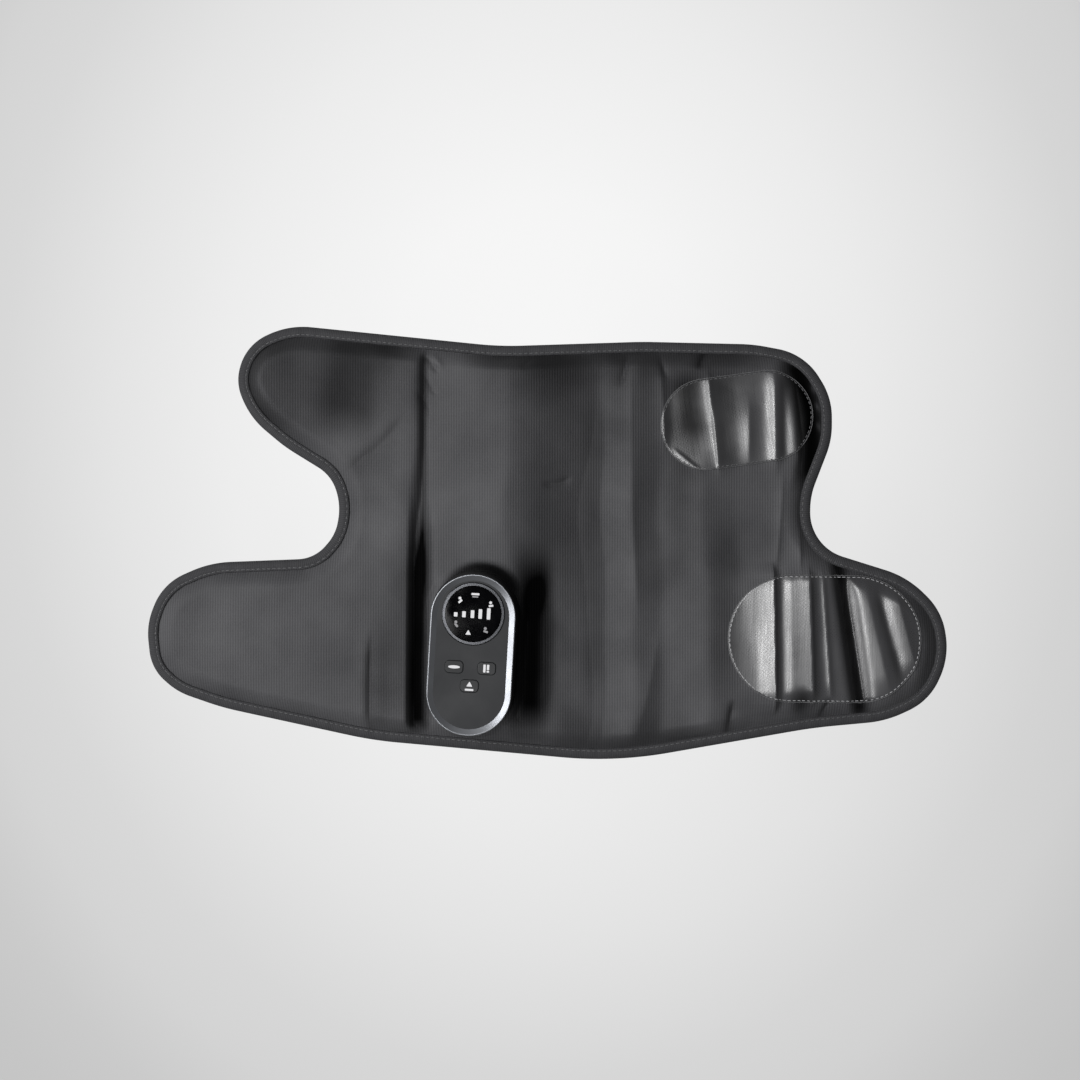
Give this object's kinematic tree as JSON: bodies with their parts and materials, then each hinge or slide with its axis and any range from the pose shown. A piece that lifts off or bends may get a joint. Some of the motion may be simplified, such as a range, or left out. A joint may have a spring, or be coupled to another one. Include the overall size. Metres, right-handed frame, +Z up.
{
  "type": "air compression leg massager",
  "caption": "Padded calf wrap that lies open, with hook patches, straps and a pump controller with a round display and press buttons.",
  "frame": {"origin": "middle of the open wrap's footprint, on the floor it lies on", "axes": "+X along the wrap toward the wide wing and its rounded tab, +Y across the wrap from the edge the controller sits by to the other, +Z up out of the outer fabric"},
  "size_m": [0.5897, 0.3191, 0.0412],
  "materials": {
    "outer_fabric": "matte",
    "lining_fabric": "matte",
    "foam": "matte",
    "bladder": "satin",
    "binding_tape": "matte",
    "loop_tape": "matte",
    "hook_tape": "satin",
    "housing_plastic": "matte",
    "trim_plastic": "gloss",
    "panel_plastic": "satin",
    "gasket_rubber": "matte",
    "bezel_plastic": "satin",
    "lens_plastic": "polished",
    "display_module": "matte",
    "circuit_board": "satin",
    "switch_plastic": "satin",
    "battery_can": "satin",
    "motor_can": "satin",
    "pump_plastic": "satin",
    "hose_rubber": "satin",
    "socket_steel": "satin",
    "clamp_plastic": "matte",
    "screw_steel": "satin",
    "button_plastic": "satin"
  },
  "bodies": {
    "upper_strap": {"upper_strap_outer_cover": "outer_fabric", "upper_strap_lining": "lining_fabric", "upper_strap_foam_pad": "foam", "upper_strap_edge_binding": "binding_tape", "upper_strap_loop_patch": "loop_tape"},
    "lower_strap": {"lower_strap_outer_cover": "outer_fabric", "lower_strap_lining": "lining_fabric", "lower_strap_foam_pad": "foam", "lower_strap_edge_binding": "binding_tape", "lower_strap_loop_patch": "loop_tape"},
    "left_panel": {"left_panel_outer_cover": "outer_fabric", "left_panel_lining": "lining_fabric", "left_panel_foam_pad": "foam", "left_panel_air_bladder": "bladder", "left_panel_edge_binding": "binding_tape"},
    "bay": {"bay_outer_cover": "outer_fabric", "bay_lining": "lining_fabric", "bay_foam_pad": "foam", "bay_edge_binding": "binding_tape", "base_housing": "housing_plastic", "top_housing": "housing_plastic", "trim_ring": "trim_plastic", "face_panel": "panel_plastic", "face_gasket": "gasket_rubber", "display_bezel": "bezel_plastic", "display_lens": "lens_plastic", "display_board": "display_module", "main_board": "circuit_board", "button_switches": "switch_plastic", "battery": "battery_can", "pump_motor": "motor_can", "pump_head": "pump_plastic", "air_manifold": "pump_plastic", "air_valves": "pump_plastic", "air_hoses": "hose_rubber", "charge_socket": "socket_steel", "charge_board": "circuit_board", "clamp_plate": "clamp_plastic", "clamp_screws": "screw_steel", "housing_screws": "screw_steel"},
    "right_panel": {"right_panel_outer_cover": "outer_fabric", "right_panel_lining": "lining_fabric", "right_panel_foam_pad": "foam", "right_panel_air_bladder": "bladder", "right_panel_edge_binding": "binding_tape"},
    "right_wing": {"right_wing_outer_cover": "outer_fabric", "right_wing_lining": "lining_fabric", "right_wing_foam_pad": "foam", "right_wing_edge_binding": "binding_tape", "right_wing_upper_hook_patch": "hook_tape", "right_wing_lower_hook_patch": "hook_tape"},
    "right_tab": {"right_tab_outer_cover": "outer_fabric", "right_tab_lining": "lining_fabric", "right_tab_foam_pad": "foam", "right_tab_edge_binding": "binding_tape", "right_tab_hook_patch": "hook_tape"},
    "mode_button": {"mode_button": "button_plastic"},
    "level_button": {"level_button": "button_plastic"},
    "power_button": {"power_button": "button_plastic"}
  },
  "joints": [
    {"name": "left_panel_fold", "type": "hinge", "parent": "bay", "child": "left_panel", "pos_m": [-0.094, 0, 0], "axis": [0, -1, 0], "range_deg": [0, 50]},
    {"name": "upper_strap_fold", "type": "hinge", "parent": "left_panel", "child": "upper_strap", "pos_m": [-0.161, 0, 0], "axis": [0, -1, 0], "range_deg": [0, 50]},
    {"name": "lower_strap_fold", "type": "hinge", "parent": "left_panel", "child": "lower_strap", "pos_m": [-0.161, 0, 0], "axis": [0, -1, 0], "range_deg": [0, 50]},
    {"name": "right_panel_fold", "type": "hinge", "parent": "bay", "child": "right_panel", "pos_m": [0, 0, 0], "axis": [0, 1, 0], "range_deg": [0, 50]},
    {"name": "right_wing_fold", "type": "hinge", "parent": "right_panel", "child": "right_wing", "pos_m": [0.072, 0, 0], "axis": [0, 1, 0], "range_deg": [0, 60]},
    {"name": "right_tab_fold", "type": "hinge", "parent": "right_wing", "child": "right_tab", "pos_m": [0.224, 0, 0], "axis": [0, 1, 0], "range_deg": [0, 90]},
    {"name": "mode_button_press", "type": "slide", "parent": "bay", "child": "mode_button", "axis": [0, 0, -1], "range_m": [0, 0.0008], "stiffness_N_per_m": 300},
    {"name": "level_button_press", "type": "slide", "parent": "bay", "child": "level_button", "axis": [0, 0, -1], "range_m": [0, 0.0008], "stiffness_N_per_m": 300},
    {"name": "power_button_press", "type": "slide", "parent": "bay", "child": "power_button", "axis": [0, 0, -1], "range_m": [0, 0.0008], "stiffness_N_per_m": 300}
  ]
}
